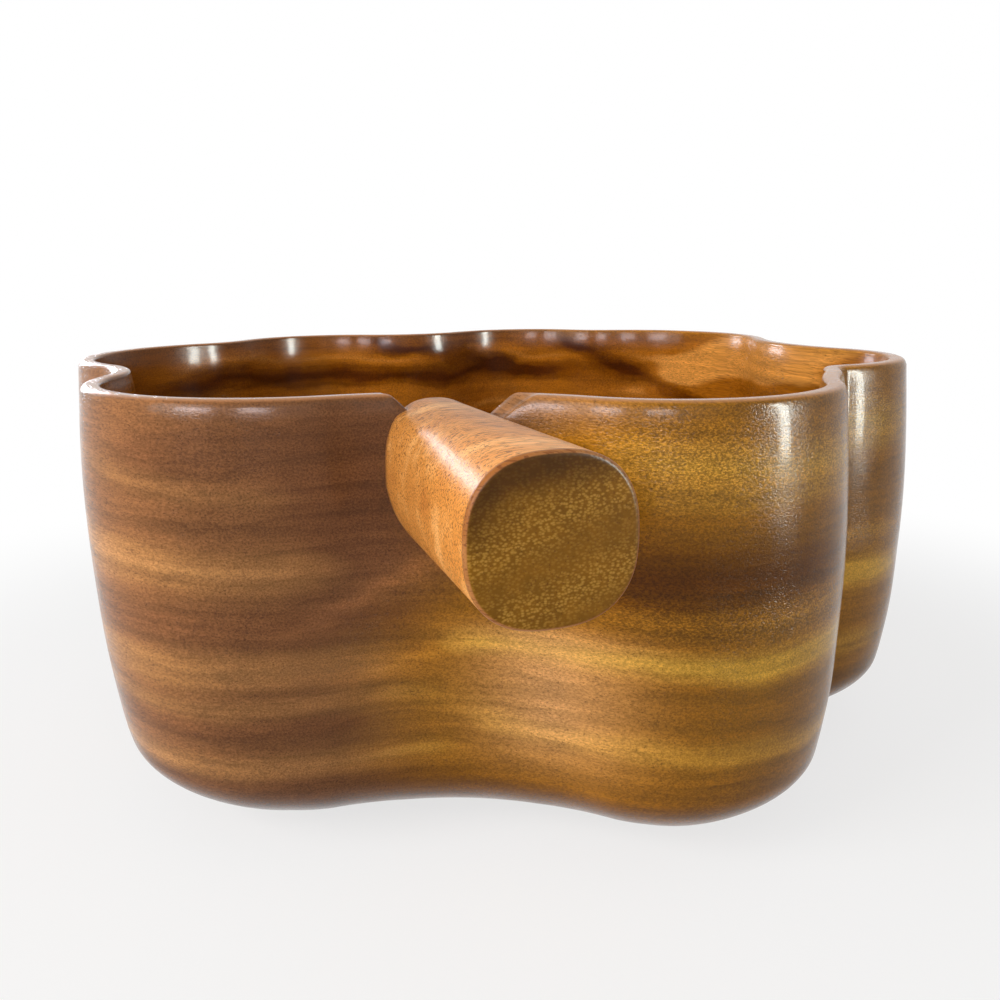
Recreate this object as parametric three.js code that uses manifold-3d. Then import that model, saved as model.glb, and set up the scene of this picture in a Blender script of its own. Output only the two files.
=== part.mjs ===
// A deep wooden serving bowl with seven soft lobes and a thick stem let into its wall as a grip.
// Millimetres, +Z up. The bowl stands on z = 0 over the origin and the stem points towards -Y.
import * as THREE from 'three';
import Module from 'manifold-3d';

const wasm = await Module();
wasm.setup();

// Bowl: walls and floor
const bowlHeight = 136;
const wallThickness = 7.5; // at the rim, where the wall is thinnest
const wallGain = 2; // how much thicker the wall is at the base
const floorThickness = 10;
const wallLean = 8; // how far the wall leans in between rim and base
const wallBelly = 6; // how far it bulges out of that lean halfway up

// Bowl: the round turn from the wall into the base, and the one from the cavity's wall into its floor
const cornerHeight = 26.5;
const cornerWidth = 33;
const cornerSweep = 45; // degrees of the ellipse used, the flat base cuts off the rest
const cavityCornerHeight = 32;
const cavityCornerWidth = 26;
const cavityCornerSweep = 84;

// Bowl: the eased rim
const rimOuterRadius = 2.2;
const rimInnerRadius = 1.2;

// Bowl: seven lobes. Each is a disc whose centre lies at a bearing and a reach from the origin, and
// a second disc broadens the front right lobe's flank. Bearings are degrees counter-clockwise from
// -Y, seen from above. A hollow joins each disc to the next one. The lobes are uneven, as carved by
// hand: reach, radius and the radius of the hollow after it are given as shares of the plain lobe's.
const lobeReach = 93;
const lobeRadius = 60;
const hollowRadius = 46;
const lobes = [
  { name: 'front right', bearing: 9.2, reach: 1.184, radius: 0.833, hollow: 2.61 },
  { name: 'front right flank', bearing: 27.6, reach: 1.003, radius: 0.75, hollow: 0.13 },
  { name: 'right', bearing: 57.9, reach: 1.14, radius: 0.75, hollow: 1.6 },
  { name: 'back right', bearing: 118.7, reach: 0.976, radius: 1.055, hollow: 0.8 },
  { name: 'back', bearing: 150.4, reach: 1.091, radius: 0.75, hollow: 0.87 },
  { name: 'back left', bearing: 206.5, reach: 1.049, radius: 0.785, hollow: 0.72 },
  { name: 'left', bearing: 243.4, reach: 0.98, radius: 1.085, hollow: 0.89 },
  { name: 'front left', bearing: 301.5, reach: 1.036, radius: 1.008, hollow: 1.54 },
].map(({ name, bearing, reach, radius, hollow }) => ({
  name, bearing, reach: reach * lobeReach, radius: radius * lobeRadius, hollow: hollow * hollowRadius,
}));

// Stem. It leaves the hollow between the two front lobes.
const stemShift = -2; // of its axis, from the middle of the rim gap above it
const stemLength = 71.9; // from the outline to the cut end
const stemAxisDrop = 21.7; // from the rim down to the stem's axis
const stemRootWidth = 27;
const stemRootDepth = 39.5;
const stemEndWidth = 38.5;
const stemEndDepth = 37.5;
const stemSquareness = 2.5; // exponent of the section, 2 is an ellipse
const stemEdge = 1.3; // eased edge round the cut end
const collarSwell = 1.6; // the root spreads to sit on the wall
const collarLength = 12;

// Joint between stem and wall
const tenonShoulder = 1; // the tenon is this much smaller than the stem all round
const tenonReach = 6; // how far the tenon stands inside the bowl
const tenonRound = 5; // its inner end is rounded over
const fitClearance = 0.3;
const rimGapShift = -5.7; // of the opening in the rim above the stem, from the middle of the hollow
const rimGapWidth = 33;
const rimGapSlope = 45; // degrees, the two bevelled ends of the rim

// Fineness of the faceted surface
const outlineStep = 9.5;
const arcSteps = 4; // the fewest on one arc
const cornerRings = 8;
const wallRings = 6;
const rimRings = 3;
const stemSides = 36;
const stemStep = 9;

const woodColor = 0x9a6638;
const stemColor = 0xb07a43;

const toRadians = THREE.MathUtils.degToRad;

// Plan outline

function lobeCentre({ bearing, reach }) {
  return new THREE.Vector2(Math.sin(toRadians(bearing)), -Math.cos(toRadians(bearing))).multiplyScalar(reach);
}

// The circle of the hollow after the first lobe lies outside both lobes and touches them.
function hollowCentre(first, second) {
  const start = lobeCentre(first);
  const across = lobeCentre(second).sub(start);
  const distance = across.length();
  const toFirst = first.radius + first.hollow;
  const toSecond = second.radius + first.hollow;
  const along = (distance ** 2 + toFirst ** 2 - toSecond ** 2) / (2 * distance);
  const aside = Math.sqrt(toFirst ** 2 - along ** 2);
  const direction = across.normalize();
  const outward = new THREE.Vector2(direction.y, -direction.x);
  return start.addScaledVector(direction, along).addScaledVector(outward, aside);
}

// Points on one arc with their outward normals, without the arc's last point.
function arcPoints(centre, radius, from, sweep, facing) {
  const steps = Math.max(arcSteps, Math.ceil((radius * Math.abs(sweep)) / outlineStep));
  return Array.from({ length: steps }, (_, i) => {
    const angle = from + (sweep * i) / steps;
    const ray = new THREE.Vector2(Math.cos(angle), Math.sin(angle));
    return {
      point: centre.clone().addScaledVector(ray, radius),
      normal: ray.clone().multiplyScalar(facing),
    };
  });
}

function plainAngle(angle) {
  return THREE.MathUtils.euclideanModulo(angle + Math.PI, 2 * Math.PI) - Math.PI;
}

function bowlOutline() {
  const hollows = lobes.map((lobe, i) => hollowCentre(lobe, lobes[(i + 1) % lobes.length]));
  return lobes.flatMap((lobe, i) => {
    const centre = lobeCentre(lobe);
    const before = hollows.at(i - 1);
    const after = hollows[i];
    const next = lobeCentre(lobes[(i + 1) % lobes.length]);
    const start = before.clone().sub(centre).angle();
    const end = after.clone().sub(centre).angle();
    const middle = start + plainAngle(lobeCentre(lobe).angle() - start);
    const lobeSweep = plainAngle(middle - start) + plainAngle(end - middle);
    const hollowStart = centre.clone().sub(after).angle();
    const hollowSweep = plainAngle(next.clone().sub(after).angle() - hollowStart);
    return [
      ...arcPoints(centre, lobe.radius, start, lobeSweep, 1),
      ...arcPoints(after, lobe.hollow, hollowStart, hollowSweep, -1),
    ];
  });
}

const outline = bowlOutline();

function outlineRing(inset, height) {
  return outline.map(({ point, normal }) => new THREE.Vector3(
    point.x - normal.x * inset,
    point.y - normal.y * inset,
    height,
  ));
}

// Wall profile

// Part of an ellipse that turns from the wall into a flat of the given width, from t = 0 to 1.
function cornerCurve(t, width, height, sweep) {
  const angle = toRadians(sweep) * t;
  return {
    inset: (width * (1 - Math.cos(angle))) / (1 - Math.cos(toRadians(sweep))),
    drop: (height * Math.sin(angle)) / Math.sin(toRadians(sweep)),
  };
}

// Inset of the wall's plain outer face from the outline at a height.
function faceInset(height) {
  const depth = Math.max(0, 1 - height / bowlHeight);
  return wallLean * depth - wallBelly * Math.sin(Math.PI * depth);
}

function thicknessAt(height) {
  return wallThickness + wallGain * (1 - height / bowlHeight);
}

function evenSteps(from, to, count) {
  return Array.from({ length: count }, (_, i) => from + ((to - from) * (i + 1)) / count);
}

// Rings of the outer face from the base up to a top height. Growth moves the face outwards.
function outerRings(growth, top) {
  const corner = Array.from({ length: cornerRings + 1 }, (_, i) => {
    const { inset, drop } = cornerCurve(1 - i / cornerRings, cornerWidth, cornerHeight, cornerSweep);
    const height = cornerHeight - drop;
    return outlineRing(inset + faceInset(height) - growth, height);
  });
  const wall = evenSteps(cornerHeight, top, wallRings).map(
    (height) => outlineRing(faceInset(height) - growth, height),
  );
  return [...corner, ...wall];
}

function rimRound() {
  const outer = evenSteps(0, Math.PI / 2, rimRings).map((angle) => {
    const height = bowlHeight - rimOuterRadius * (1 - Math.sin(angle));
    return outlineRing(faceInset(height) + rimOuterRadius * (1 - Math.cos(angle)), height);
  });
  const inner = [0, ...evenSteps(0, Math.PI / 2, rimRings)].map((angle) => {
    const height = bowlHeight - rimInnerRadius * (1 - Math.cos(angle));
    return outlineRing(wallThickness + faceInset(height) - rimInnerRadius * (1 - Math.sin(angle)), height);
  });
  return [...outer, ...inner];
}

// Rings of the cavity from below the rim down to the floor.
function cavityRings() {
  const cornerTop = floorThickness + cavityCornerHeight;
  const wall = evenSteps(bowlHeight - rimInnerRadius, cornerTop, wallRings).map(
    (height) => outlineRing(faceInset(height) + thicknessAt(height), height),
  );
  const corner = evenSteps(0, 1, cornerRings).map((t) => {
    const { inset, drop } = cornerCurve(t, cavityCornerWidth, cavityCornerHeight, cavityCornerSweep);
    const height = cornerTop - drop;
    return outlineRing(faceInset(height) + thicknessAt(height) + inset, height);
  });
  return [...wall, ...corner];
}

// Solids

// Closes a stack of equal rings with a fan at each end. Each ring runs counter-clockwise
// seen against the direction in which the rings follow one another.
function loftSolid(rings) {
  const count = rings[0].length;
  const vertices = rings.flat();
  const triangles = [];
  for (let row = 0; row < rings.length - 1; row += 1) {
    for (let column = 0; column < count; column += 1) {
      const a = row * count + column;
      const b = row * count + ((column + 1) % count);
      triangles.push(a, b, b + count, a, b + count, a + count);
    }
  }
  const middleOf = (ring) => ring.reduce((sum, p) => sum.add(p), new THREE.Vector3()).divideScalar(count);
  const firstMiddle = vertices.push(middleOf(rings[0])) - 1;
  const lastMiddle = vertices.push(middleOf(rings.at(-1))) - 1;
  const lastRow = (rings.length - 1) * count;
  for (let column = 0; column < count; column += 1) {
    const next = (column + 1) % count;
    triangles.push(firstMiddle, next, column);
    triangles.push(lastMiddle, lastRow + column, lastRow + next);
  }
  return new wasm.Manifold(new wasm.Mesh({
    numProp: 3,
    vertProperties: new Float32Array(vertices.flatMap((p) => p.toArray())),
    triVerts: new Uint32Array(triangles),
  }));
}

// Stem

const stemAxisZ = bowlHeight - stemAxisDrop;

// The hollow between the two front lobes, with the point of the outline in its middle.
function frontHollow() {
  const [frontLeft, frontRight] = [lobes.at(-1), lobes[0]];
  const centre = hollowCentre(frontLeft, frontRight);
  const chord = lobeCentre(frontRight).sub(lobeCentre(frontLeft)).normalize();
  const inward = new THREE.Vector2(-chord.y, chord.x);
  const radius = frontLeft.hollow;
  return { centre, radius, middle: centre.clone().addScaledVector(inward, radius) };
}

const gapAxisX = frontHollow().middle.x + rimGapShift;
const stemAxisX = gapAxisX + stemShift;

// One superellipse section of the stem in the plane at y. The swell pushes out the sides
// and the underside and leaves the top as it is.
function stemRing(y, width, depth, swell = 0) {
  return Array.from({ length: stemSides }, (_, i) => {
    const angle = (2 * Math.PI * i) / stemSides;
    const across = Math.sign(Math.cos(angle)) * Math.abs(Math.cos(angle)) ** (2 / stemSquareness);
    const up = Math.sign(Math.sin(angle)) * Math.abs(Math.sin(angle)) ** (2 / stemSquareness);
    const spread = swell * (1 - Math.max(0, Math.sin(angle)) ** 2);
    return new THREE.Vector3(
      stemAxisX + across * (width / 2 + spread),
      y,
      stemAxisZ + up * (depth / 2 + (up < 0 ? spread : 0)),
    );
  });
}

// Where the outline crosses the stem's axis, towards -Y.
function wallReachAtStem() {
  const { centre, radius } = frontHollow();
  return -(centre.y + Math.sqrt(radius ** 2 - (stemAxisX - centre.x) ** 2));
}

const wallReach = wallReachAtStem();
const stemReach = wallReach + stemLength;

// From the inside out the rings run from inside the wall to the eased edge of the cut end.
function stemBody() {
  const start = wallReach - wallThickness / 2;
  const end = stemReach - stemEdge;
  const steps = Math.ceil((end - start) / stemStep);
  const body = [start, ...evenSteps(start, end, steps)].map((reach) => {
    const flare = THREE.MathUtils.clamp((reach - wallReach) / stemLength, 0, 1);
    const near = THREE.MathUtils.clamp(1 - (reach - wallReach) / collarLength, 0, 1);
    const width = THREE.MathUtils.lerp(stemRootWidth, stemEndWidth, flare);
    const depth = THREE.MathUtils.lerp(stemRootDepth, stemEndDepth, flare);
    return stemRing(-reach, width, depth, collarSwell * near ** 2);
  });
  const ease = [0.5, 1].map((t) => {
    const angle = t * (Math.PI / 2);
    const shrink = 2 * stemEdge * (1 - Math.cos(angle));
    const reach = end + stemEdge * Math.sin(angle);
    return stemRing(-reach, stemEndWidth - shrink, stemEndDepth - shrink);
  });
  return loftSolid([...body, ...ease]);
}

// The tenon runs through the wall and ends in a round nose inside the bowl.
function stemTenon() {
  const width = stemRootWidth - 2 * tenonShoulder;
  const depth = stemRootDepth - 2 * tenonShoulder;
  const innerEnd = wallReach - wallThickness - tenonReach;
  const nose = Array.from({ length: 5 }, (_, i) => {
    const angle = (i / 4) * (Math.PI / 2);
    const shrink = 2 * tenonRound * (1 - Math.sin(angle));
    return stemRing(-(innerEnd + tenonRound * (1 - Math.cos(angle))), width - shrink, depth - shrink);
  });
  return loftSolid([...nose, stemRing(-(wallReach + collarLength), width, depth)]);
}

// The mortise is the tenon's section with its clearance, cut from outside into the cavity.
function mortiseCutter() {
  const width = stemRootWidth - 2 * tenonShoulder + 2 * fitClearance;
  const depth = stemRootDepth - 2 * tenonShoulder + 2 * fitClearance;
  const inner = wallReach - wallThickness - tenonReach - stemEndWidth / 2;
  return loftSolid([stemRing(-inner, width, depth), stemRing(-stemReach, width, depth)]);
}

// A wedge over the stem, pointing down, bevels the two ends of the open rim.
function rimGapCutter() {
  const halfWidth = rimGapWidth / 2;
  const above = rimOuterRadius;
  const run = Math.tan(toRadians(rimGapSlope));
  const topZ = bowlHeight + above;
  const tipZ = bowlHeight - halfWidth / run;
  const topHalf = halfWidth + above * run;
  const inner = wallReach - wallThickness - tenonReach - stemEndWidth / 2;
  const wedge = (reach) => [
    new THREE.Vector3(gapAxisX + topHalf, -reach, topZ),
    new THREE.Vector3(gapAxisX - topHalf, -reach, topZ),
    new THREE.Vector3(gapAxisX, -reach, tipZ),
  ];
  return loftSolid([wedge(inner), wedge(stemReach)]);
}

function bowlBody() {
  const shell = loftSolid([
    ...outerRings(0, bowlHeight - rimOuterRadius),
    ...rimRound(),
    ...cavityRings(),
  ]);
  return shell.subtract(mortiseCutter()).subtract(rimGapCutter());
}

// The stem's shoulder is scribed to the wall: the wall's outer form, grown by the clearance, is cut away.
function stemHandle() {
  const wallForm = loftSolid(outerRings(fitClearance, bowlHeight + stemRootDepth));
  return stemBody().subtract(wallForm).add(stemTenon());
}

function woodMesh(name, solid, color, roughness) {
  const { vertProperties, triVerts } = solid.getMesh();
  const geometry = new THREE.BufferGeometry();
  geometry.setAttribute('position', new THREE.BufferAttribute(new Float32Array(vertProperties), 3));
  geometry.setIndex(new THREE.BufferAttribute(new Uint32Array(triVerts), 1));
  geometry.computeVertexNormals();
  const mesh = new THREE.Mesh(geometry, new THREE.MeshStandardMaterial({ color, roughness, metalness: 0 }));
  mesh.name = name;
  return mesh;
}

const servingBowl = new THREE.Group();
servingBowl.add(woodMesh('bowl_body', bowlBody(), woodColor, 0.32));
servingBowl.add(woodMesh('stem_handle', stemHandle(), stemColor, 0.32));

export default servingBowl;
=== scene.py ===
# A lobed wooden serving bowl with a thick stem for a grip, on a pale floor in soft daylight.
# Blender works in metres. Sizes of the pieces are in millimetres and those of the wood's patterns
# in centimetres. The bowl stands on z = 0 over the origin and the stem points towards -Y.
import bpy
import math
import numpy as np
from mathutils import Matrix, Vector


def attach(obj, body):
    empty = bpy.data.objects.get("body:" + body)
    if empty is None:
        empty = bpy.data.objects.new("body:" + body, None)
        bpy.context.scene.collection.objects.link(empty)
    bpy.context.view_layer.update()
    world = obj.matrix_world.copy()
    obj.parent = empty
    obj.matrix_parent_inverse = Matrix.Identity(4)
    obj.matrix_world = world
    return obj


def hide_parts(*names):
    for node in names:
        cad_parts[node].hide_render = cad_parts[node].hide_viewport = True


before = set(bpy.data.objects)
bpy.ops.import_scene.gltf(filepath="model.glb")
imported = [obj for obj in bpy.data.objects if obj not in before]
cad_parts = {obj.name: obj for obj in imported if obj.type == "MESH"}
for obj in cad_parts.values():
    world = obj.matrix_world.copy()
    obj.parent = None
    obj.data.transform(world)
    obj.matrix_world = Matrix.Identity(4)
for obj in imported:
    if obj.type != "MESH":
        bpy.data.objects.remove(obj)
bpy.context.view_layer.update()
mm = 0.001
mmPerCm = 10


# The bowl's form
bowl = {
    "height": 136,
    "wall": 7.5,             # wall thickness at the rim
    "wallGain": 2,           # thicker at the base
    "floor": 10,
    "lean": 8,               # wall leans in between rim and base
    "belly": 6,              # and bulges out of that lean halfway up
    "cornerHeight": 26.5, "cornerWidth": 33, "cornerSweep": 45,      # outside, from base to wall
    "cavityHeight": 32, "cavityWidth": 26, "cavitySweep": 84,        # inside, from wall to floor
    "rimOuter": 2.2, "rimInner": 1.2,    # roundings of the rim
    "flare": 1.8, "flareDepth": 12,      # the inner face leans out below the rim
    # carved by hand, so not quite even: how far the lobes draw in at the base, how far the left
    # side is drawn in and the right side let out low down, and the heights where each begins and
    # is full. The right side goes as far again between the last two
    "baseDraw": 3.0, "baseDrawHeights": (34, 0),
    "leftDraw": 1.4, "leftDrawHeights": (125, 70),
    "rightDraw": 1.5, "rightDrawHeights": (72, 42), "rightDrawAgain": (35, 8),
    "lobeFade": 18,          # along the outline, between a lobe that draws in and a hollow
    # each lobe: bearing in degrees from -Y counter-clockwise, reach of its centre, its radius and
    # the radius of the hollow between it and the next
    "lobes": [(9.2, 110.112, 49.98, 120.06), (27.6, 93.279, 45, 5.98), (57.9, 106.02, 45, 73.6),
              (118.7, 90.768, 63.3, 36.8), (150.4, 101.463, 45, 40.02), (206.5, 97.557, 47.1, 33.12),
              (243.4, 91.14, 65.1, 40.94), (301.5, 96.348, 60.48, 70.84)],
    "gapShift": -5.7,        # of the opening in the rim from the middle of the front hollow
    "gapWidth": 33,          # bevelled opening in the rim over the stem
    "gapEdge": 0.9,          # eased edge of the bevels
    "gapEdgeDepth": 3,       # below the rim, where the rim's roundings have turned into that edge
    "gapCorner": 1.2,        # softened corner between rim and bevel
    "columnStep": 2.2, "fineStep": 0.45, "leastColumns": 12,
    "rows": {"corner": 20, "face": 27, "outerEdge": 8, "innerEdge": 7, "innerFace": 33, "cavity": 22},
    "rowCrowding": 1.4,      # of the inner face's rows towards the rim
    "insideRows": 8,         # below the rim, over which the wood turns into the inside's
}


def lobeCentre(lobe):
    angle = math.radians(lobe[0])
    return np.array([math.sin(angle), -math.cos(angle)]) * lobe[1]


def hollowCentre(first, second):
    # centre of the circle outside both lobes that touches them
    start = lobeCentre(first)
    across = lobeCentre(second) - start
    distance = np.hypot(*across)
    toFirst, toSecond = first[2] + first[3], second[2] + first[3]
    along = (distance ** 2 + toFirst ** 2 - toSecond ** 2) / (2 * distance)
    aside = math.sqrt(toFirst ** 2 - along ** 2)
    unit = across / distance
    return start + unit * along + np.array([unit[1], -unit[0]]) * aside


lobes = bowl["lobes"]
frontHollow = hollowCentre(lobes[-1], lobes[0])
chord = lobeCentre(lobes[0]) - lobeCentre(lobes[-1])
chord = chord / np.hypot(*chord)
gapX = (frontHollow + np.array([-chord[1], chord[0]]) * lobes[-1][3])[0] + bowl["gapShift"]


def heading(vector):
    return math.atan2(vector[1], vector[0])


def plainAngle(angle):
    # the same direction as an angle from -pi to pi
    return (angle + math.pi) % (2 * math.pi) - math.pi


def bowlOutline():
    # arcs of the lobes and the hollows in turn, as points, outward normals and a mark that is 1
    # on a lobe; an arc is centre + radius * (cos, sin) of an even run of angles
    points, normals, marks = [], [], []
    hollows = [hollowCentre(lobe, lobes[(i + 1) % len(lobes)]) for i, lobe in enumerate(lobes)]
    for i, lobe in enumerate(lobes):
        centre, hollow = lobeCentre(lobe), hollows[i]
        following = lobeCentre(lobes[(i + 1) % len(lobes)])
        start = heading(hollows[i - 1] - centre)
        middle = start + plainAngle(heading(centre) - start)
        sweep = plainAngle(middle - start) + plainAngle(heading(hollow - centre) - middle)
        hollowStart = heading(centre - hollow)
        hollowSweep = plainAngle(heading(following - hollow) - hollowStart)
        hollowStep = bowl["fineStep"] if i == len(lobes) - 1 else bowl["columnStep"]   # fine in front
        for arcCentre, radius, first, turn, facing, step in (
            (centre, lobe[2], start, sweep, 1, bowl["columnStep"]),
            (hollow, lobe[3], hollowStart, hollowSweep, -1, hollowStep),
        ):
            count = max(bowl["leastColumns"], math.ceil(radius * abs(turn) / step))
            angles = first + turn * np.arange(count) / count
            rays = np.stack([np.cos(angles), np.sin(angles)], 1)
            points.append(arcCentre + radius * rays)
            normals.append(facing * rays)
            marks.append(np.full(count, max(facing, 0.0)))
    return np.vstack(points), np.vstack(normals), np.concatenate(marks)


outline, outward, onLobe = bowlOutline()


def averagedAlong(values, reach):
    # running mean of a value round the outline, over the reach to both sides: the running total
    # at one end less that at the other, divided by the distance between them
    steps = np.hypot(*(np.roll(outline, -1, 0) - outline).T)
    along = np.concatenate([[0], np.cumsum(steps)])
    total = np.concatenate([[0], np.cumsum(values * steps)])
    middles = along[:-1] + steps / 2

    def totalAt(place):
        laps = np.floor(place / along[-1])
        return np.interp(place % along[-1], along, total) + laps * total[-1]

    return (totalAt(middles + reach) - totalAt(middles - reach)) / (2 * reach)


lobeShare = averagedAlong(onLobe, bowl["lobeFade"])


def smoothStep(value, low, high):
    # 0 at low and 1 at high, by t * t * (3 - 2 t) between them
    t = np.clip((value - low) / (high - low), 0, 1)
    return t * t * (3 - 2 * t)


def unevenInset(z):
    # lobes at the base, then left and right, which fade with the square of the cosine
    z = np.broadcast_to(z, lobeShare.shape)
    base = bowl["baseDraw"] * lobeShare * smoothStep(z, *bowl["baseDrawHeights"])
    left = np.maximum(0, -outward[:, 0]) ** 2 * bowl["leftDraw"]
    right = np.maximum(0, outward[:, 0]) ** 2 * bowl["rightDraw"]
    letOut = smoothStep(z, *bowl["rightDrawHeights"]) * (1 + smoothStep(z, *bowl["rightDrawAgain"]))
    return base + left * smoothStep(z, *bowl["leftDrawHeights"]) - right * letOut


def faceInset(z):
    # inset of the outer face: a straight lean less half a sine wave of belly
    depth = np.maximum(0, 1 - z / bowl["height"])
    return bowl["lean"] * depth - bowl["belly"] * np.sin(math.pi * depth)


def wallAt(z):
    return bowl["wall"] + bowl["wallGain"] * (1 - z / bowl["height"])


def cornerCurve(t, width, height, sweep):
    # part of an ellipse from upright (t = 0) to the given slope (t = 1): inset and drop
    angle = math.radians(sweep) * t
    return (width * (1 - np.cos(angle)) / (1 - math.cos(math.radians(sweep))),
            height * np.sin(angle) / math.sin(math.radians(sweep)))


def softMin(a, b, radius):
    # the smaller of two numbers, with the corner between them rounded over the radius
    near = np.maximum(0, radius - np.abs(a - b)) / radius
    return np.minimum(a, b) - near ** 2 * radius / 4


def bevelTop(x):
    # height of the gap's two bevels, which rise at 45 degrees from its middle
    return bowl["height"] - bowl["gapWidth"] / 2 + np.abs(x - gapX)


def rimTop(x, y):
    # height of the wall's top edge: the rim, or the bevels of the gap in the front half
    rim = np.full_like(x, float(bowl["height"]))
    return softMin(rim, np.where(y < 0, bevelTop(x), rim + bowl["gapWidth"]), bowl["gapCorner"])


def ringAt(inset, z):
    # the outline drawn in by the inset at the height z, each one number or one for each column
    inset = np.broadcast_to(inset, outward.shape[:1])
    z = np.broadcast_to(z, outward.shape[:1])
    return np.column_stack([outline - outward * inset[:, None], z])


def towardsMiddle(ring, shares):
    # copies of a ring drawn in towards its middle, for a flat
    middle = ring.mean(0)
    return [middle + (ring - middle) * share for share in shares]


def gridMesh(name, rings, shares):
    # rings is rows x columns x 3: rows follow the profile, columns close on themselves, and a
    # point in the middle of the first and of the last row closes the ends. shares is a number
    # for each row, kept on its points as rowShare for the wood
    rows, columns = rings.shape[:2]
    index = np.arange(rows * columns).reshape(rows, columns)
    after = np.roll(index, -1, 1)
    quads = np.stack([index[:-1], after[:-1], after[1:], index[1:]], -1).reshape(-1, 4)
    startPoint, endPoint = np.full(columns, rows * columns), np.full(columns, rows * columns + 1)
    fans = np.vstack([np.stack([after[0], index[0], startPoint], 1),
                      np.stack([index[-1], after[-1], endPoint], 1)])
    vertices = np.vstack([rings.reshape(-1, 3), rings[0].mean(0), rings[-1].mean(0)]) * mm
    loops = np.concatenate([quads.ravel(), fans.ravel()])
    starts = np.concatenate([np.arange(len(quads)) * 4, len(quads) * 4 + np.arange(len(fans)) * 3])
    mesh = bpy.data.meshes.new(name)
    mesh.vertices.add(len(vertices))
    mesh.vertices.foreach_set("co", vertices.ravel().astype(np.float32))
    mesh.loops.add(len(loops))
    mesh.loops.foreach_set("vertex_index", loops.astype(np.int32))
    mesh.polygons.add(len(starts))
    mesh.polygons.foreach_set("loop_start", starts.astype(np.int32))
    mesh.update(calc_edges=True)
    mesh.validate()
    mesh.shade_smooth()
    marks = np.append(np.repeat(shares, columns), (shares[0], shares[-1])).astype(np.float32)
    mesh.attributes.new("rowShare", "FLOAT", "POINT").data.foreach_set("value", marks)
    piece = bpy.data.objects.new(name, mesh)
    bpy.context.scene.collection.objects.link(piece)
    return piece


def bowlRings():
    height, rows = float(bowl["height"]), bowl["rows"]
    rings = []
    # outer corner from the base upwards
    for t in np.linspace(1, 0, rows["corner"]):
        inset, drop = cornerCurve(t, bowl["cornerWidth"], bowl["cornerHeight"], bowl["cornerSweep"])
        z = bowl["cornerHeight"] - drop
        rings.append(ringAt(inset + faceInset(z) + unevenInset(z), z))
    rings = towardsMiddle(rings[0], (0.15, 0.4, 0.65, 0.85, 0.95, 0.985)) + rings
    # each column's top edge on the outer and the inner face, and its roundings
    outer, inner = ringAt(0, height), ringAt(bowl["wall"], height)
    topOuter, topInner = rimTop(outer[:, 0], outer[:, 1]), rimTop(inner[:, 0], inner[:, 1])
    inGap = np.clip((height - np.minimum(topOuter, topInner)) / bowl["gapEdgeDepth"], 0, 1)
    radiusOuter = bowl["rimOuter"] + (bowl["gapEdge"] - bowl["rimOuter"]) * inGap
    radiusInner = bowl["rimInner"] + (bowl["gapEdge"] - bowl["rimInner"]) * inGap
    # outer face, its rounding and the rim's flat top
    for t in np.linspace(0, 1, rows["face"])[1:]:
        z = bowl["cornerHeight"] + (topOuter - radiusOuter - bowl["cornerHeight"]) * t
        rings.append(ringAt(faceInset(z) + unevenInset(z), z))
    for angle in np.linspace(0, math.pi / 2, rows["outerEdge"])[1:]:
        inset = faceInset(topOuter) + radiusOuter * (1 - math.cos(angle))
        rings.append(ringAt(inset, topOuter - radiusOuter * (1 - math.sin(angle))))
    innerWall = bowl["wall"] - bowl["flare"] + faceInset(topInner)
    outerEdge, innerEdge = rings[-1], ringAt(innerWall - radiusInner, topInner)
    for t in (0.33, 0.67, 1):
        rings.append(outerEdge + (innerEdge - outerEdge) * t)
    outsideCount = len(rings)
    # inner rounding, inner face and the cavity's corner down to the floor
    for angle in np.linspace(0, math.pi / 2, rows["innerEdge"])[1:]:
        inset = innerWall - radiusInner * (1 - math.sin(angle))
        rings.append(ringAt(inset, topInner - radiusInner * (1 - math.cos(angle))))
    cornerTop = bowl["floor"] + bowl["cavityHeight"]
    faceTop = topInner - radiusInner
    for t in np.linspace(0, 1, rows["innerFace"])[1:] ** bowl["rowCrowding"]:
        z = faceTop + (cornerTop - faceTop) * t
        wall = wallAt(z) - bowl["wallGain"] * (1 - topInner / height) * (1 - t)
        flare = bowl["flare"] * np.clip(1 - (faceTop - z) / bowl["flareDepth"], 0, 1) ** 2
        rings.append(ringAt(faceInset(z) + wall - flare, z))
    for t in np.linspace(0, 1, rows["cavity"])[1:]:
        inset, drop = cornerCurve(t, bowl["cavityWidth"], bowl["cavityHeight"], bowl["cavitySweep"])
        z = cornerTop - drop
        rings.append(ringAt(faceInset(z) + wallAt(z) + inset, z))
    rings += towardsMiddle(rings[-1], (0.97, 0.9, 0.75, 0.5, 0.2))
    insideShare = np.clip((np.arange(len(rings)) - outsideCount) / bowl["insideRows"], 0, 1)
    return np.stack(rings), insideShare


# The stem
stem = {
    "shift": -2,             # of its axis from the middle of the rim's gap
    "length": 71.9,          # from the outline to the cut end
    "drop": 21.7,            # axis below the rim
    "rootWidth": 27, "rootDepth": 39.5, "endWidth": 38.5, "endDepth": 37.5,
    "rootLean": 1.5,         # the root sits this much to the left of the cut end
    "squareness": 2.5,       # power of its section: 2 is an ellipse, more is squarer
    "edge": 1.3,             # eased edge of the cut end
    "swell": 1.8, "swellLength": 30,     # how far the root swells at its sides, and along what length
    "swellFrom": -14, "swellOver": 12,   # the swelling begins so far below the axis and grows over this
    "wallAbove": 3, "wallFade": 8,       # it ends so far above the gap's bevels and fades over this
    "nose": 6, "noseRound": 5,           # how far it comes out inside the bowl, and its rounding
    "hiddenEnd": 1.5,        # the rows in the wall run towards a place this far inside its outer face
    "sink": 0.15,            # and the swollen root begins this far inside it
    "sides": 224,
    "rows": {"nose": 14, "root": 18, "free": 30, "edge": 8},
}
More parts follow.
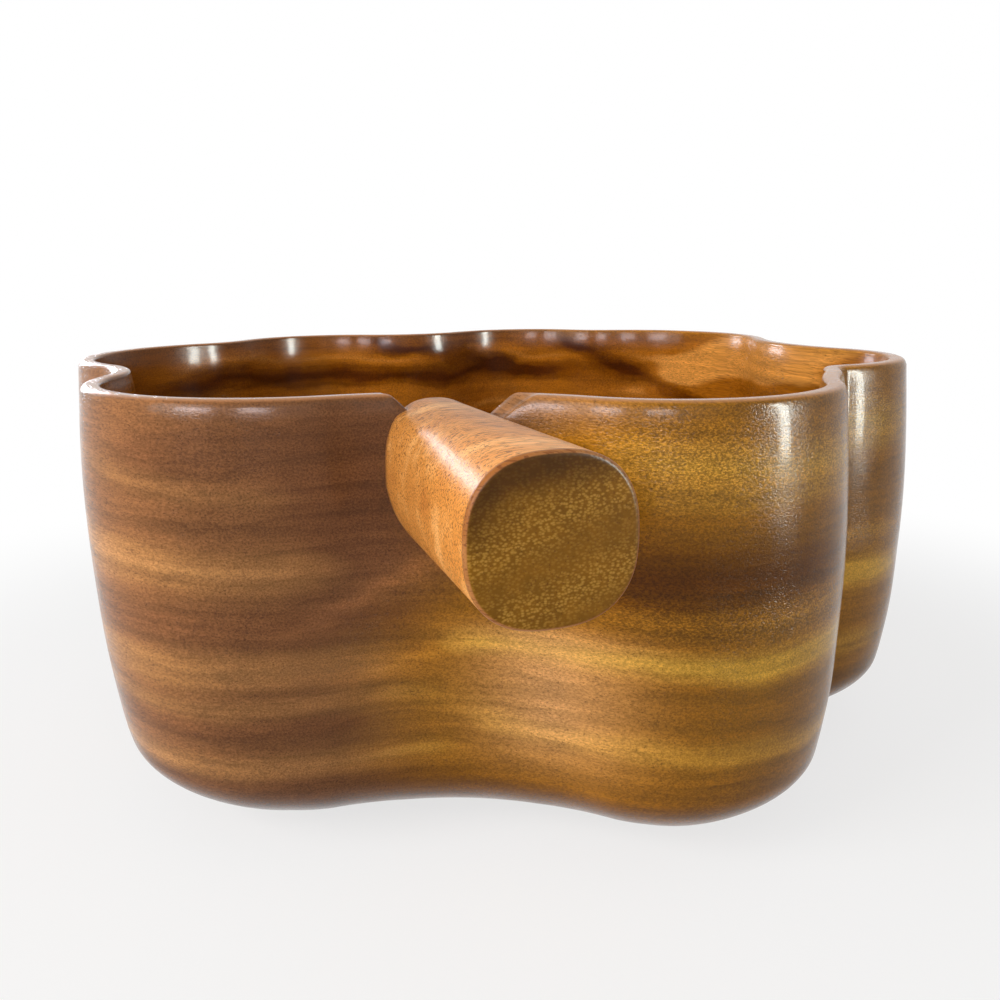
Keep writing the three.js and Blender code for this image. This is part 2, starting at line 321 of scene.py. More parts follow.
stemX = gapX + stem["shift"]
stemZ = bowl["height"] - stem["drop"]


def wallReach(x, z):
    # how far the wall's outer face reaches towards -Y in the front hollow, at x and z
    radius = lobes[-1][3] + faceInset(z)
    return -(frontHollow[1] + np.sqrt(radius ** 2 - (x - frontHollow[0]) ** 2))


stemReach = float(wallReach(stemX, bowl["height"]))


def signedPower(value, power):
    return np.sign(value) * np.abs(value) ** power


def stemSection(width, depth, spread=0):
    # superellipse |x/a|^n + |z/b|^n = 1 round the axis: x/a and z/b are cos and sin to the power
    # 2/n with their signs kept, pushed out by spread along the normal, their power n - 1 over a, b
    angle = 2 * math.pi * np.arange(stem["sides"]) / stem["sides"]
    a, b, n = width / 2, depth / 2, stem["squareness"]
    across, up = signedPower(np.cos(angle), 2 / n), signedPower(np.sin(angle), 2 / n)
    normalX, normalZ = signedPower(across, n - 1) / a, signedPower(up, n - 1) / b
    size = np.hypot(normalX, normalZ)
    return stemX + across * a + spread * normalX / size, stemZ + up * b + spread * normalZ / size


def lengthShare(reach):
    # 0 at the wall and 1 at the cut end, for a reach towards -Y
    return np.clip((reach - stemReach) / stem["length"], 0, 1)


def stemSizes(reach):
    # width and depth of the stem's section, changing evenly from its root to its cut end
    share = lengthShare(reach)
    return (stem["rootWidth"] + (stem["endWidth"] - stem["rootWidth"]) * share,
            stem["rootDepth"] + (stem["endDepth"] - stem["rootDepth"]) * share)


def leaned(x, reach):
    return x - stem["rootLean"] * (1 - lengthShare(reach))


def stemRing(x, reach, z):
    # a ring of the stem, at one reach towards -Y or at one for each of its points
    return np.column_stack([x, np.broadcast_to(-reach, x.shape), z])


def stemRings():
    rows, rings = stem["rows"], []
    # nose inside the bowl
    noseTip = stemReach - bowl["wall"] - stem["nose"]
    noseEnd = noseTip + stem["noseRound"]
    for angle in np.linspace(0, math.pi / 2, rows["nose"]):
        shrink = 2 * stem["noseRound"] * (1 - math.sin(angle))
        x, z = stemSection(stem["rootWidth"] - shrink, stem["rootDepth"] - shrink)
        rings.append(stemRing(x - stem["rootLean"], noseEnd - stem["noseRound"] * math.cos(angle), z))
    rings = towardsMiddle(rings[0], (0.3, 0.7, 0.95)) + rings
    # through the wall, up to where the root's section meets its outer face
    x, z = stemSection(stem["rootWidth"], stem["rootDepth"])
    x = x - stem["rootLean"]
    contact = wallReach(x, z)
    for t in (0.3, 0.6, 0.9):
        rings.append(stemRing(x, noseEnd + (contact - stem["hiddenEnd"] - noseEnd) * t, z))
    # the swollen root: full where there is wall beside it, then easing down to the stem's own
    # width by half a cosine wave
    besideWall = smoothStep(bevelTop(x) + stem["wallAbove"] - z, 0, stem["wallFade"])
    aboveFoot = np.clip((z - stemZ - stem["swellFrom"]) / stem["swellOver"], 0, 1)
    swell = stem["swell"] * besideWall * aboveFoot
    hiddenCount = len(rings)
    for part in np.linspace(0, 1, rows["root"]):
        reach = contact + stem["swellLength"] * part
        x, z = stemSection(*stemSizes(reach), swell * (1 + math.cos(math.pi * part)) / 2)
        x = leaned(x, reach)
        rings.append(stemRing(x, wallReach(x, z) - stem["sink"] + stem["swellLength"] * part, z))
    # the free length, flaring to the cut end, and the eased edge
    start = contact + stem["swellLength"]
    edgeStart = stemReach + stem["length"] - stem["edge"]
    for t in np.linspace(0, 1, rows["free"])[1:]:
        reach = start + (edgeStart - start) * t
        x, z = stemSection(*stemSizes(reach))
        rings.append(stemRing(leaned(x, reach), reach, z))
    for angle in np.linspace(0, math.pi / 2, rows["edge"])[1:]:
        shrink = 2 * stem["edge"] * (1 - math.cos(angle))
        x, z = stemSection(stem["endWidth"] - shrink, stem["endDepth"] - shrink)
        rings.append(stemRing(x, edgeStart + stem["edge"] * math.sin(angle), z))
    rings += towardsMiddle(rings[-1], (0.97, 0.9, 0.75, 0.5, 0.2))
    # 1 at the wall's face, 0 inside the wall and where the swelling ends
    order = np.arange(len(rings)) - hiddenCount
    rootShare = np.clip(1 - order / (rows["root"] + 1), 0, 1) * (order >= 0)
    return np.stack(rings), rootShare


bowlPiece = gridMesh("carved_bowl", *bowlRings())
stemPiece = gridMesh("carved_stem", *stemRings())
print("pieces made:", len(bowlPiece.data.polygons), len(stemPiece.data.polygons), "faces")


# Shader helpers
class Wire:
    # one socket's output; plain arithmetic on it adds Math nodes
    def __init__(self, graph, socket):
        self.graph = graph
        self.socket = socket

    def __add__(self, other):
        return self.graph.maths("ADD", self, other)

    def __radd__(self, other):
        return self.graph.maths("ADD", other, self)

    def __sub__(self, other):
        return self.graph.maths("SUBTRACT", self, other)

    def __rsub__(self, other):
        return self.graph.maths("SUBTRACT", other, self)

    def __mul__(self, other):
        return self.graph.maths("MULTIPLY", self, other)

    def __rmul__(self, other):
        return self.graph.maths("MULTIPLY", other, self)

    def __truediv__(self, other):
        return self.graph.maths("DIVIDE", self, other)

    def __rtruediv__(self, other):
        return self.graph.maths("DIVIDE", other, self)

    def __pow__(self, other):
        return self.graph.maths("POWER", self, other)

    def __rpow__(self, other):
        return self.graph.maths("POWER", other, self)

    def __abs__(self):
        return self.graph.maths("ABSOLUTE", self)


class Graph:
    # the nodes of one material or world, with a method for each kind of pattern
    def __init__(self, owner):
        owner.use_nodes = True
        self.tree = owner.node_tree
        self.tree.nodes.clear()

    def add(self, kind, settings=None, inputs=None, output=0):
        # any node, from its type, its settings and the values or wires of its sockets
        node = self.tree.nodes.new(kind)
        for key, value in (settings or {}).items():
            if key == "stops":
                ramp = node.color_ramp
                ramp.interpolation = "EASE"
                while len(ramp.elements) < len(value):
                    ramp.elements.new(1.0)
                for element, (position, colour) in zip(ramp.elements, value):
                    element.position = position
                    element.color = colour
            else:
                setattr(node, key, value)
        for key, value in (inputs or {}).items():
            if isinstance(value, Wire):
                self.tree.links.new(value.socket, node.inputs[key])
            else:
                node.inputs[key].default_value = value
        return Wire(self, node.outputs[output]) if len(node.outputs) else None

    def maths(self, operation, first, second=0.0):
        return self.add("ShaderNodeMath", {"operation": operation}, {0: first, 1: second})

    def vectors(self, operation, *inputs, output=0):
        return self.add("ShaderNodeVectorMath", {"operation": operation}, dict(enumerate(inputs)), output)

    def coords(self, kind):
        return self.add("ShaderNodeTexCoord", output=kind)

    def attribute(self, name):
        return self.add("ShaderNodeAttribute", {"attribute_name": name}, {}, "Fac")

    def turned(self, vector, turn):
        # a vector turned about z
        return self.add("ShaderNodeMapping", {"vector_type": "POINT"}, {
            "Vector": vector, "Rotation": (0, 0, turn)})

    def place(self, turn=0, shift=(0, 0, 0)):
        # Object coordinates in centimetres, shifted and then turned about z
        centred = self.vectors("SUBTRACT", self.coords("Object"), shift)
        return self.vectors("MULTIPLY", self.turned(centred, turn), (100, 100, 100))

    def parts(self, vector):
        return [self.add("ShaderNodeSeparateXYZ", {}, {0: vector}, axis) for axis in range(3)]

    def noise(self, vector, stretch, detail=2, rough=0.5, output="Fac"):
        # stretch says how fine the noise is along the three axes
        return self.add("ShaderNodeTexNoise", {}, {
            "Vector": self.vectors("MULTIPLY", vector, stretch), "Scale": 1.0, "Detail": detail,
            "Roughness": rough}, output)

    def bent(self, vector, stretch, strength):
        # a vector moved about by coloured noise of its own
        colour = self.noise(vector, stretch, output="Color")
        centred = self.vectors("SUBTRACT", colour, (0.5, 0.5, 0.5))
        return self.vectors("MULTIPLY_ADD", centred, strength, vector)

    def cells(self, vector, stretch):
        # distance to the nearest of a scatter of points
        return self.add("ShaderNodeTexVoronoi", {}, {
            "Vector": self.vectors("MULTIPLY", vector, stretch), "Scale": 1.0, "Detail": 0.0})

    def smooth(self, value, low, high, start=0.0, end=1.0):
        # start at low, end at high, smooth between
        return self.add("ShaderNodeMapRange", {"interpolation_type": "SMOOTHSTEP"}, {
            "Value": value, "From Min": low, "From Max": high, "To Min": start, "To Max": end})

    def bell(self, value, middle, width):
        # 1 at the middle, falling off to both sides
        part = (value - middle) / width
        return math.e ** (part * part * -1)

    def blend(self, mask, first, second, how="MIX"):
        # a colour Mix node: its Factor is socket 0, A is 6, B is 7 and its colour comes out of 2
        return self.add("ShaderNodeMix", {"data_type": "RGBA", "blend_type": how}, {
            0: mask, 6: first, 7: second}, 2)

    def gain(self, colour, amount):
        # a colour made lighter or darker by a number
        grey = self.add("ShaderNodeCombineXYZ", {}, {0: amount, 1: amount, 2: amount})
        return self.blend(1.0, colour, grey, "MULTIPLY")

    def ramp(self, value, stops):
        # stops are places with display colours
        linear = [(place, rgb(*colour)) for place, colour in stops]
        return self.add("ShaderNodeValToRGB", {"stops": linear}, {"Fac": value})

    def seen(self):
        # 1 for the rays that show a thing, 0 for those that carry its light to the wood
        rays = [self.add("ShaderNodeLightPath", output=kind)
                for kind in ("Is Camera Ray", "Is Glossy Ray", "Is Transmission Ray")]
        return self.maths("MINIMUM", rays[0] + rays[1] + rays[2], 1.0)


def rgb(r, g, b):
    # display values 0-255 to a linear colour
    plain = np.array([r, g, b]) / 255
    linear = np.where(plain <= 0.04045, plain / 12.92, ((plain + 0.055) / 1.055) ** 2.4)
    return (*[float(v) for v in linear], 1.0)


# The finish of both woods: a low gloss that follows the pores, under a thin clear coat
lacquer = {"bump": 0.5, "bumpDepth": 0.0003, "ior": 1.45, "coatIor": 1.25}


def lacquered(g, values, colour, rough, height):
    bump = g.add("ShaderNodeBump", {}, {
        "Strength": lacquer["bump"], "Distance": lacquer["bumpDepth"], "Height": height})
    shader = g.add("ShaderNodeBsdfPrincipled", {}, {
        "Base Color": colour, "Roughness": rough, "IOR": lacquer["ior"],
        "Specular IOR Level": values["gloss"], "Coat Weight": values["coat"],
        "Coat Roughness": values["coatRough"], "Coat IOR": lacquer["coatIor"], "Normal": bump})
    g.add("ShaderNodeOutputMaterial", {}, {"Surface": shader})


# The bowl's wood. Its layers lie nearly level and its fibres run from back to front: faces across
# the fibres are darker, with dots and flecks, and the flanks along them are paler, with dashes;
# that paleness is partly side grain and partly painted light standing in for the windows' light on the
# flanks.
# Heights and places are centimetres, x to the right and y to the back as the layers lie.
bowlWood = {
    "turn": math.radians(19.66),    # from the part's axes to the way the layers lie
    "fibreTurn": -0.12,             # from the Y axis to the fibres
    "flank": (0.92, 0.4),           # share of the normal along the fibres, where they are cut and on a flank
    # noises: how fine they are along the three axes, their detail and their roughness
    "wander": ((0.1, 0.06, 0.16), 2, 0.5),
    "ripple": ((0.35, 0.2, 0.6), 3, 0.5),
    "thinStreaks": ((0.12, 0.1, 3.0), 4, 0.65),
    "mottle": ((1.3, 0.3, 2.4), 3, 0.6),
    "lines": ((17, 0.3, 20), 3, 0.65),
    "flecks": ((15, 0.9, 23), 2, 0.5),
    "pores": ((26, 0.9, 32), 1, 0.5),
    "haze": ((0.5, 0.5, 0.5), 3, 0.6),
    # how fine the bending of two of them is along the axes, and how far it moves them
    "streakBend": ((0.06, 0.05, 0.6), (25 / 6, 5, 1 / 3)),
    "fleckBend": ((1.5, 1.5, 1.5), (0.04, 0, 0.04)),
    # a layer's level: it rises to the right, wanders and ripples
    "layerRise": 0.02, "wanderHeight": 0.9, "rippleHeight": 0.4,
    # tones of the wood from dark to pale, browner on the left and golden on the right
    "brownTones": [(0, (72, 42, 22)), (0.25, (101, 64, 36)), (0.5, (127, 87, 49)),
                   (0.75, (151, 107, 63)), (1, (182, 138, 86))],
    "goldenTones": [(0, (78, 40, 0)), (0.25, (104, 62, 4)), (0.5, (134, 88, 18)),
                    (0.75, (160, 114, 36)), (1, (190, 144, 50))],
    "insideTones": [(0, (76, 32, 0)), (0.4, (122, 66, 4)), (0.7, (160, 94, 18)), (1, (216, 146, 66))],
    # the golden side begins between two places, which wander, lie further to the left below the
    # low heights and further to the right above the high ones
    "goldenPlace": (-3.2, 1), "goldenWander": 2,
    "goldenLow": (9.5, 7, 0, 2), "goldenHigh": (12, 13.2, 0, 4),
    "plainTone": 0.32, "goldenTone": 0.1, "insidePlainTone": 0.5,
    # pale and dark streaks, two of them painted shade as marked: height, half width, rise to the right,
    # where they begin and end, strength
    "streaks": [
        (12.6, 0.5, 0.05, -9, -1, -0.1), (10.6, 0.35, -0.08, -14, -4, 0.08), (8.95, 0.5, 0, -14, -4.5, 0.3),
        (7.6, 0.5, 0.04, -14, -2, -0.06), (6.3, 0.45, 0.03, -14, -3, 0.26), (5.3, 0.3, 0.04, -14, -2, 0.14),
        (4.6, 0.25, 0.04, -14, -3, -0.08), (3.4, 0.35, 0.04, -14, -1, 0.28),
        # the first streak here, a broad dark band beside the stem's root, is painted shade towards the
        # crease by the stem
        (10.9, 1.6, 0, -4.5, 0.5, -0.18), (13, 1, 0, 0.5, 14, 0.12), (12, 0.6, 0, 3, 14, 0.38),
        (11, 0.5, 0.02, 3, 14, 0.2), (9.1, 0.75, 0, 0, 9, -0.34), (7.9, 0.4, 0.03, 2, 14, 0.14),
        (6.85, 0.42, 0, -1.2, 14, 0.55), (6.8, 1.6, 0, 6.5, 14, 0.16), (4.9, 0.9, 0, -3.5, 1, 0.16),
        # the last streak, a dark band all round the foot, is painted shade where the wall turns under
        # towards the floor
        (4.35, 0.5, 0, 0, 14, 0.3), (1.2, 1.3, 0, -14, 14, -0.2)],
    "insideStreaks": [
        (12.4, 0.35, 0, -14, 14, 0.3), (11.6, 0.35, 0.01, -14, 4, -0.45), (10.7, 0.5, 0, -14, 14, 0.2),
        (9.8, 0.4, 0.01, -14, 14, 0.3), (8.6, 0.5, 0, -14, 14, -0.3), (7, 0.7, 0, -14, 14, 0.3),
        (12.1, 0.32, -0.21, -6, 2, -0.5), (14.75, 0.45, -0.43, 3.5, 14, -0.6)],
    "streakFade": 1.2, "streakWander": 3,
    # two streaks that rise towards the stem's root: height and place where they start from, rise,
    # half width, middle and half length to the right, strength
    "risingStreaks": [(7.2, -5.2, 0.5, 0.34, -2.6, 1.9, 0.7), (5.6, -4.2, 0.4, 0.3, -2.3, 1.7, 0.5)],
    # the flanks' paleness is partly side grain and partly painted light from the windows
    "flankGrainAndPaintedLight": (1.5, 6, 0.45, 0.8),      # flanks are paler, by so much low down and higher up
    # the palest flank, in the hollow below the stem: its middle and half width, where it fades at
    # the top, at the foot and backwards, and its strength
    "hollowPlace": (1.9, 1.9), "hollowTop": (7.9, 7.0), "hollowFoot": (2.2, 4.8), "hollowBack": (0, -5),
    "hollowPale": 0.6,
    # painted light: a pale patch on the inner wall's right, where the wall faces the left window: place and
    # half width at a height, its lean, where it fades at the foot, and its strength
    "patchPlace": (10.4, 1.6), "patchHeight": 12, "patchLean": 1.5, "patchFoot": (10, 11.5),
    "paintedLightPatch": 0.75,
    # growth rings: how many to the centimetre, and how they wander, ripple and darken
    "ringRate": 1.15, "ringWander": 2, "ringRipple": 0.8, "ringLight": 1.04, "ringDark": 0.16,
    # light of a pattern: the noise's low and high end, and what the colour is multiplied by there
    "thinStreakLight": (0.3, 0.7, 0.84, 1.16), "mottleLight": (0.3, 0.7, 0.92, 1.08),
    # fibre lines: the noise's low and high end, dark and light there, and how much, less on flanks
    "lineLight": (0.3, 0.7, -1, 1), "lineDepth": 0.3, "lineDepthFlank": 0.06,
    # flecks: strong in two layers, on the right and outside, weaker on the flanks
    "fleckRange": (0.44, 0.6), "fleckMiddle": 0.42, "fleckStrength": 0.62,
    "fleckLayers": [(12.3, 1.5, 1.0), (8.1, 0.8, 0.9)], "fleckLeast": 0.16,
    "fleckSide": (-1, 4, 0.2, 1.0), "fleckWander": 5, "fleckInside": 0.85, "fleckFlank": 0.5,
    "poreRange": (0.62, 0.69), "poreStrength": 0.5,
    "rimHeights": (13.52, 13.585), "rimStrength": 0.6,      # the rim's flat top is tinted lighter orange
    "bumpLeast": 0.25, "bumpPores": 0.35, "bumpLines": 0.12,
    "paleColour": (196, 148, 100), "rimColour": (190, 132, 88), "poreColour": (50, 26, 12),
    "rough": (0.3, 0.7, 0.15, 0.27),        # the haze's low and high end, and the roughness there
    "gloss": 0.09, "coat": 0.25, "coatRough": 0.12,
}


def streaksTone(g, values, x, level, plain, streaks):
    # a plain tone with soft pale and dark streaks added, each fading out at its two ends
    fade, tone = values["streakFade"], plain
    for height, width, rise, begin, end, strength in streaks:
        shown = g.smooth(x, begin - fade, begin + fade) * g.smooth(x, end + fade, end - fade)
        tone = g.bell(level - x * rise, height, width) * shown * strength + tone
    return tone


def bowlOutside(g, values, layer, level, wander, ripple, flank):
    x, y, z = g.parts(layer)
    shift = g.smooth(z, *values["goldenLow"]) - g.smooth(z, *values["goldenHigh"])
    golden = g.smooth(x + wander * values["goldenWander"] + shift, *values["goldenPlace"])
    plain = values["plainTone"] + golden * values["goldenTone"]
    tone = streaksTone(g, values, x + wander * values["streakWander"], level, plain, values["streaks"])
    colour = g.blend(golden, g.ramp(tone, values["brownTones"]), g.ramp(tone, values["goldenTones"]))
    light = 1
    for height, start, rise, width, middle, length, strength in values["risingStreaks"]:
        climb = z - (x - start) * rise + ripple
        light = light + g.bell(climb, height, width) * g.bell(x, middle, length) * strength
    colour = g.gain(colour, light)
    # paler flanks: partly side grain, partly painted light where the windows fall on them
    colour = g.gain(colour, 1 + flank * g.smooth(z, *values["flankGrainAndPaintedLight"]))
    pale = g.bell(x, *values["hollowPlace"]) * g.smooth(z, *values["hollowTop"])
    pale = pale * g.smooth(z, *values["hollowFoot"]) * g.smooth(y, *values["hollowBack"])
    return g.blend(pale * values["hollowPale"], colour, rgb(*values["paleColour"]))


def bowlInside(g, values, layer, level):
    x, _, z = g.parts(layer)
    tone = streaksTone(g, values, x, level, values["insidePlainTone"], values["insideStreaks"])
    # painted light on the inner wall's right, where it faces the left window
    patch = g.bell(x - (z - values["patchHeight"]) * values["patchLean"], *values["patchPlace"])
    tone = tone + patch * g.smooth(z, *values["patchFoot"]) * values["paintedLightPatch"]
    return g.ramp(tone, values["insideTones"])


def bowlWoodMaterial():
    values = bowlWood
    material = bpy.data.materials.new("lacquered_bowl_wood")
    g = Graph(material)
    layer = g.place(values["turn"])
    grain = g.place(values["fibreTurn"])
    x, _, z = g.parts(layer)
    normal = g.parts(g.turned(g.coords("Normal"), values["fibreTurn"]))
    flank = g.smooth(abs(normal[1]), *values["flank"])
    inner = g.attribute("rowShare")
    # the layers wander and ripple a little
    wander = g.noise(layer, *values["wander"]) - 0.5
    ripple = g.noise(layer, *values["ripple"]) - 0.5
    level = z + x * values["layerRise"] + wander * values["wanderHeight"] + ripple * values["rippleHeight"]
    colour = g.blend(inner, bowlOutside(g, values, layer, level, wander, ripple, flank),
                     bowlInside(g, values, layer, level + ripple))
    # growth rings darken slowly and end at a sharp line, with thin streaks among them
    ring = level * values["ringRate"] + wander * values["ringWander"] + ripple * values["ringRipple"]
    ringLight = values["ringLight"] - g.maths("FRACT", ring) ** 4 * values["ringDark"]
    streak = g.noise(g.bent(layer, *values["streakBend"]), *values["thinStreaks"])
    colour = g.gain(colour, ringLight * g.smooth(streak, *values["thinStreakLight"]))
    # soft mottle of the interlocked fibres, then long fibre lines
    mottle = g.noise(grain, *values["mottle"])
    lines = g.noise(grain, *values["lines"])
    depth = values["lineDepth"] - flank * values["lineDepthFlank"]
    lineLight = 1 + g.smooth(lines, *values["lineLight"]) * depth
    colour = g.gain(colour, g.smooth(mottle, *values["mottleLight"]) * lineLight)
    # pale flecks round the pores
    flecks = g.noise(g.bent(grain, *values["fleckBend"]), *values["flecks"])
    amount = values["fleckLeast"]
    for height, width, strength in values["fleckLayers"]:
        amount = g.bell(level, height, width) * strength + amount
    amount = amount * g.smooth(x + wander * values["fleckWander"], *values["fleckSide"])
    amount = amount * (1 - inner * values["fleckInside"]) * (1 - flank * values["fleckFlank"])
    fleck = g.smooth(flecks, *values["fleckRange"]) - values["fleckMiddle"]
    colour = g.gain(colour, 1 + fleck * amount * values["fleckStrength"])
    # open pores, then the rim
    pore = g.smooth(g.noise(grain, *values["pores"]), *values["poreRange"])
    colour = g.blend(pore * values["poreStrength"], colour, rgb(*values["poreColour"]))
    rim = g.smooth(z, *values["rimHeights"])
    colour = g.blend(rim * values["rimStrength"], colour, rgb(*values["rimColour"]))
    rough = g.smooth(g.noise(grain, *values["haze"]), *values["rough"])
    height = flecks * (values["bumpLeast"] + amount) - pore * values["bumpPores"]
    lacquered(g, values, colour, rough, height + lines * values["bumpLines"])
    return material


# The stem's wood. Its fibres lie across it: lines on top, dots on the flank, pebbly cut end.
# Places are centimetres from its axis, and from the cut end along it.
stemWood = {
    "turn": math.radians(19.66),    # from the part's axes to its fibres
    # noises as for the bowl's wood
    "bands": ((0.2, 0.8, 0.8), 4, 0.55),
    "lines": ((0.7, 22, 22), 3, 0.6),
    "pores": ((1.3, 22, 20), 1, 0.5),
    "endZones": ((0.3, 0.3, 0.5), 2, 0.5),
    "endBlotches": ((2.2, 2.2, 2.2), 4, 0.6),
    "endPores": ((20, 1, 20), 1, 0.5),
    "bandBend": ((0.5, 0.5, 0.5), (0.6, 0.5, 0.5)),
    "pebbleBend": ((2.5, 2.5, 2.5), (0.05, 0, 0.05)), "pebbleStretch": (12, 1, 18),
    "tones": [(0.3, (190, 120, 54)), (0.5, (206, 136, 64)), (0.7, (234, 170, 100))],
    "lineLight": (0.32, 0.64, 0.8, 1.1),
    "poreRange": (0.56, 0.64), "poreStrength": 0.7,
    # the bowl's darker wood at the root: its share of the rows, heights and strength
    "rootRange": (0.9, 1), "rootHeights": (1.5, 0.3), "rootStrength": 0.8,
    "lengthLight": (0.92, 1.35),    # at the wall and at the cut end
    # the cut end begins between two places, and the darker band on its eased edge behind it
    "cutPlace": (0.03, 0.008), "edgePlace": (0.2, 0.12), "edgeStrength": 0.75,
    # across the cut end: how its bands slant, their heights, half width and strength, and the
    # dark corner above them
    "slant": 0.35, "bandHeights": (0.45, -1.15), "bandWidth": 0.55, "bandStrength": 0.62, "bandLeast": 0.04,
    "darkCorner": (0.5, 1.5), "cornerWander": 1.5,
    "pebbleRange": (0.7, 0.15), "blotchLight": (0.3, 0.7, 0.86, 1.14),
    "endPoreRange": (0.62, 0.7), "endPoreStrength": 0.45,
    "bumpLines": 0.5, "bumpPores": 0.5, "bumpPebbles": 0.12,
    "wallColour": (112, 70, 42), "poreColour": (82, 42, 16),
    "endDark": (78, 46, 4), "endPlain": (122, 80, 14), "endPale": (188, 142, 58), "endEdge": (128, 74, 40),
    "rough": 0.34, "gloss": 0.07, "coat": 0.1, "coatRough": 0.2,
}


def stemCutEnd(g, values, own, pebble):
    # pebbly wood in slanting bands, darker towards the upper left
    u, _, w = g.parts(own)
    slant = w - u * values["slant"]
    zone = g.noise(own, *values["endZones"]) - 0.5
    corner = g.smooth(slant + zone * values["cornerWander"], *values["darkCorner"])
    ground = g.blend(corner, rgb(*values["endPlain"]), rgb(*values["endDark"]))
    ground = g.gain(ground, g.smooth(g.noise(own, *values["endBlotches"]), *values["blotchLight"]))
    share = values["bandLeast"]
    for height in values["bandHeights"]:
        share = g.bell(slant + zone, height, values["bandWidth"]) * values["bandStrength"] + share
    colour = g.blend(pebble * share, ground, rgb(*values["endPale"]))
    pore = g.smooth(g.noise(own, *values["endPores"]), *values["endPoreRange"])
    return g.blend(pore * values["endPoreStrength"], colour, rgb(*values["poreColour"]))


def stemWoodMaterial():
    values = stemWood
    material = bpy.data.materials.new("lacquered_stem_wood")
    g = Graph(material)
    axis = (stemX * mm, 0, stemZ * mm)
    own = g.place(0, axis)
    _, v, w = g.parts(own)
    curved = g.bent(g.place(values["turn"], axis), *values["bandBend"])
    colour = g.ramp(g.noise(curved, *values["bands"]), values["tones"])
    lines = g.noise(curved, *values["lines"])
    colour = g.gain(colour, g.smooth(lines, *values["lineLight"]))
    pore = g.smooth(g.noise(curved, *values["pores"]), *values["poreRange"])
    colour = g.blend(pore * values["poreStrength"], colour, rgb(*values["poreColour"]))
    root = g.smooth(g.attribute("rowShare"), *values["rootRange"]) * g.smooth(w, *values["rootHeights"])
    colour = g.blend(root * values["rootStrength"], colour, rgb(*values["wallColour"]))
    # paler towards the cut end
    wallPlace, endPlace = -stemReach / mmPerCm, -(stemReach + stem["length"]) / mmPerCm
    colour = g.gain(colour, g.smooth(v, wallPlace, endPlace, *values["lengthLight"]))
    fromEnd = v - endPlace
    edge = g.smooth(fromEnd, *values["edgePlace"]) * values["edgeStrength"]
    colour = g.blend(edge, colour, rgb(*values["endEdge"]))
    cut = g.smooth(fromEnd, *values["cutPlace"])
    cells = g.cells(g.bent(own, *values["pebbleBend"]), values["pebbleStretch"])
    pebble = g.smooth(cells, *values["pebbleRange"])
    colour = g.blend(cut, colour, stemCutEnd(g, values, own, pebble))
    sides = (lines * values["bumpLines"] - pore * values["bumpPores"]) * (1 - cut)
    lacquered(g, values, colour, values["rough"], sides + pebble * values["bumpPebbles"] * cut)
    return material


for piece, node, slot, material in ((bowlPiece, "bowl_body", "bowl_wood", bowlWoodMaterial()),
                                    (stemPiece, "stem_handle", "stem_wood", stemWoodMaterial())):
    piece.data.materials.append(material)
    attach(piece, "root")
    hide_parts(node)
print("wood done")


# Floor and light, in metres and watts
studio = {
    "floorReach": 6.0, "floorColour": (0.8, 0.8, 0.8, 1),
    "shadowNear": 0.2, "shadowFar": 0.42,   # the floor turns plain white between these distances
    "floorGlow": 0.72,                      # how white it shows nearer than that
    "daylight": 0.46,                       # the world's light on the wood, though it shows as 1
    # soft windows that light the wood, then bright narrow ones that only its gloss shows
    "lamps": {
        "windowLeft": {"place": (-1.38, -0.46, 0.76), "aim": (0, 0, 0.08), "size": (0.8, 0.8),
                       "power": 17, "colour": (1, 0.98, 0.95)},
        "windowFront": {"place": (-0.6, -1.8, 1.0), "aim": (0, 0, 0.1), "size": (1.6, 1.2),
                        "power": 8, "colour": (1, 1, 1)},
        "glintRight": {"place": (1.14, -1.16, 0.45), "aim": (0.02, -0.16, 0.12), "size": (0.22, 1.0),
                       "power": 100, "colour": (0.93, 1, 0.94), "glossOnly": True},
        "glintBack": {"place": (-0.47, 1.26, 0.4), "aim": (-0.06, -0.16, 0.12), "size": (0.4, 0.3),
                      "power": 9, "colour": (0.87, 0.89, 1), "glossOnly": True},
        "glintFront": {"place": (-0.75, -1.3, 0.66), "aim": (-0.03, 0.12, 0.12), "size": (0.4, 0.26),
                       "power": 14, "colour": (0.93, 0.92, 1), "glossOnly": True},
        "glintLeft": {"place": (-1.3, -0.72, 0.62), "aim": (0.1, 0.08, 0.12), "size": (0.5, 0.26),
                      "power": 16, "colour": (0.95, 0.92, 1), "glossOnly": True},
    },
}
white = (1, 1, 1, 1)


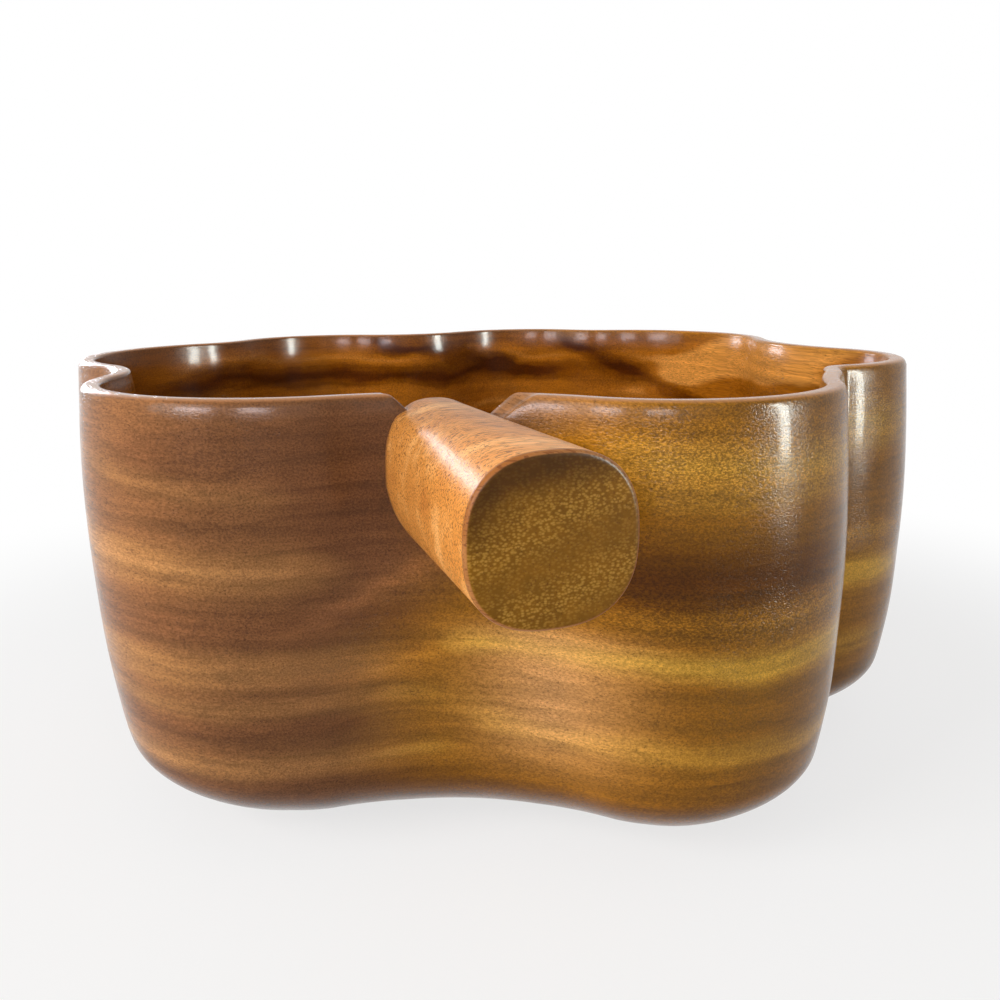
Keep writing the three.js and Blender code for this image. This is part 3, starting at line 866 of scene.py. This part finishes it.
def paleFloor():
    # one square face
    corners = [(x, y, 0) for x, y in np.array([(-1, -1), (1, -1), (1, 1), (-1, 1)]) * studio["floorReach"]]
    mesh = bpy.data.meshes.new("pale_floor")
    mesh.from_pydata(corners, [], [(0, 1, 2, 3)])
    piece = bpy.data.objects.new("pale_floor", mesh)
    bpy.context.scene.collection.objects.link(piece)
    material = bpy.data.materials.new("pale_floor")
    g = Graph(material)
    away = g.vectors("LENGTH", g.coords("Object"), output="Value")
    glowShare = g.smooth(away, studio["shadowNear"], studio["shadowFar"], studio["floorGlow"], 1.0)
    plain = g.add("ShaderNodeBsdfDiffuse", {}, {"Color": studio["floorColour"]})
    glow = g.add("ShaderNodeEmission", {}, {"Color": white, "Strength": 1.0})
    mixed = g.add("ShaderNodeMixShader", {}, {0: g.seen() * glowShare, 1: plain, 2: glow})
    g.add("ShaderNodeOutputMaterial", {}, {"Surface": mixed})
    mesh.materials.append(material)


def windowLight(name, values):
    data = bpy.data.lights.new(name, "AREA")
    data.shape = "RECTANGLE"
    data.size, data.size_y = values["size"]
    data.energy = values["power"]
    data.color = values["colour"]
    lamp = bpy.data.objects.new(name, data)
    place, aim = Vector(values["place"]), Vector(values["aim"])
    facing = (aim - place).to_track_quat("-Z", "Y").to_matrix().to_4x4()
    lamp.matrix_world = Matrix.Translation(place) @ facing
    lamp.visible_diffuse = not values.get("glossOnly", False)
    bpy.context.scene.collection.objects.link(lamp)


def daylightWorld():
    world = bpy.data.worlds.new("daylight")
    bpy.context.scene.world = world
    g = Graph(world)
    strength = studio["daylight"] + (1 - studio["daylight"]) * g.seen()
    sky = g.add("ShaderNodeBackground", {}, {"Color": white, "Strength": strength})
    g.add("ShaderNodeOutputWorld", {}, {"Surface": sky})


paleFloor()
for name, values in studio["lamps"].items():
    windowLight(name, values)
daylightWorld()


# The photograph's view, in millimetres and degrees
camera = {
    "place": (-126.47, -367.91, 168.44),
    "heading": 19.663, "down": 13.10, "roll": -0.587,
    "lens": 36.317, "sensor": 36,
    "near": 0.01, "far": 30,                # metres that it sees between
}


def photoCamera():
    data = bpy.data.cameras.new("photo_camera")
    data.sensor_width = camera["sensor"]
    data.lens = camera["lens"]
    data.clip_start, data.clip_end = camera["near"], camera["far"]
    eye = bpy.data.objects.new("photo_camera", data)
    eye.matrix_world = (Matrix.Translation([v * mm for v in camera["place"]])
                        @ Matrix.Rotation(math.radians(-camera["heading"]), 4, "Z")
                        @ Matrix.Rotation(math.radians(90 - camera["down"]), 4, "X")
                        @ Matrix.Rotation(math.radians(camera["roll"]), 4, "Z"))
    bpy.context.scene.collection.objects.link(eye)
    bpy.context.scene.camera = eye


photoCamera()
bpy.context.scene.view_settings.view_transform = "Standard"
print("stage done")
